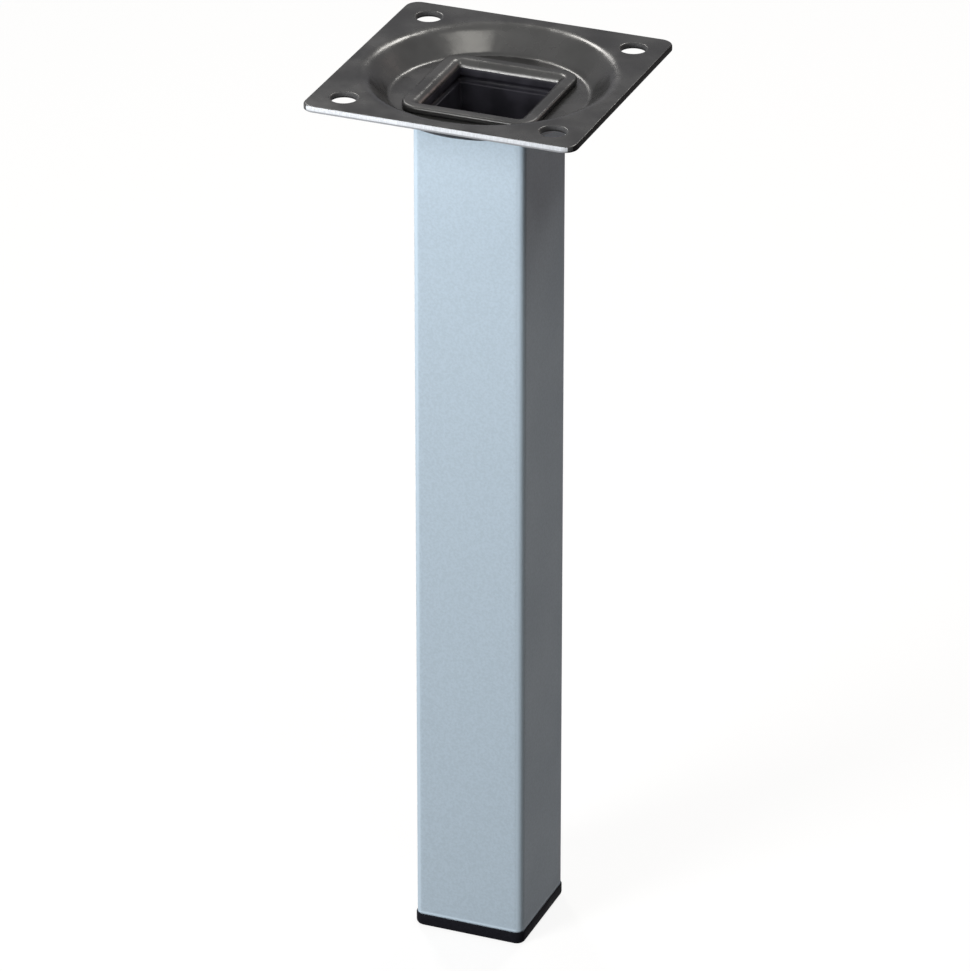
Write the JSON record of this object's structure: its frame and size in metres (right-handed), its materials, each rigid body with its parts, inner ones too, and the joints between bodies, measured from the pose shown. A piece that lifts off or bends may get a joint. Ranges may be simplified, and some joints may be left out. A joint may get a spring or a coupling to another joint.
{
  "type": "square metal table leg",
  "caption": "Short square tube table leg with a pressed screw plate crimped on its top and a plastic cap as its foot.",
  "frame": {"origin": "middle of the foot's underside, where the leg stands on the floor", "axes": "+Z along the tube towards the screw plate, +X and +Y square to the tube's faces"},
  "size_m": [0.06, 0.06, 0.2],
  "materials": {
    "plate_steel": "dark bright-rolled pressed steel, cut edges bare and bright",
    "silver_lacquer": "silver-grey metallic lacquer, satin, with a fine grain",
    "black_plastic": "moulded black plastic, satin"
  },
  "bodies": {
    "root": {"mounting_plate": "plate_steel", "leg_tube": "silver_lacquer", "foot_cap": "black_plastic"}
  },
  "joints": []
}
